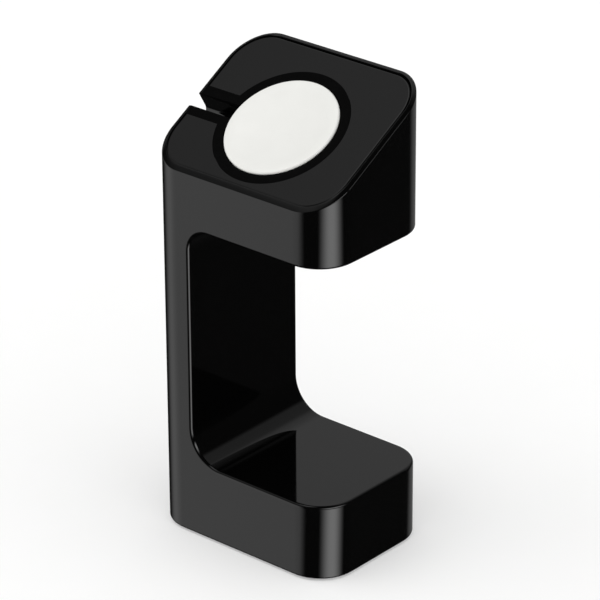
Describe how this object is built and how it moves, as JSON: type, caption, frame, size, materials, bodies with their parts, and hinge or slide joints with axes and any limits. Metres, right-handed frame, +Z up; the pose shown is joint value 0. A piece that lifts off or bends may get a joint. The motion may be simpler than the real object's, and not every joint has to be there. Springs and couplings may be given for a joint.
{
  "type": "smartwatch charging dock",
  "caption": "C-shaped desk stand with a sloping head that holds a round magnetic charging puck, with a cable slot and groove and a weighted base.",
  "frame": {"origin": "under the middle of the stand, on the surface that it stands on", "axes": "+X from the column to the tips of the C, -Y to the low side of the sloping head, +Z up"},
  "size_m": [0.054, 0.038, 0.115],
  "materials": {
    "shell_black": "high gloss moulded",
    "liner_black": "matte",
    "cover_black": "fine spark texture",
    "foot_rubber": "matte",
    "ballast_steel": "zinc plated",
    "foam_black": "foam",
    "puck_steel": "polished",
    "puck_white": "satin",
    "coil_copper": "enamelled wire",
    "ferrite_grey": "sintered",
    "magnet_nickel": "nickel plated",
    "board_green": "solder mask",
    "gland_white": "satin",
    "screw_steel": "zinc plated"
  },
  "bodies": {
    "root": {"housing": "shell_black", "head_plate": "shell_black", "slot_liner": "liner_black", "head_cover": "cover_black", "bottom_cover": "cover_black", "foot_pad": "foot_rubber", "base_weight": "ballast_steel", "well_pad": "foam_black", "puck_case": "puck_steel", "puck_cap": "puck_white", "puck_back": "puck_white", "puck_coil": "coil_copper", "puck_ferrite": "ferrite_grey", "puck_magnet": "magnet_nickel", "puck_board": "board_green", "puck_gland": "gland_white", "bottom_screw_1": "screw_steel", "bottom_screw_2": "screw_steel", "bottom_screw_3": "screw_steel", "bottom_screw_4": "screw_steel", "weight_screw_1": "screw_steel", "weight_screw_2": "screw_steel", "head_cover_screw_1": "screw_steel", "head_cover_screw_2": "screw_steel"}
  },
  "joints": []
}
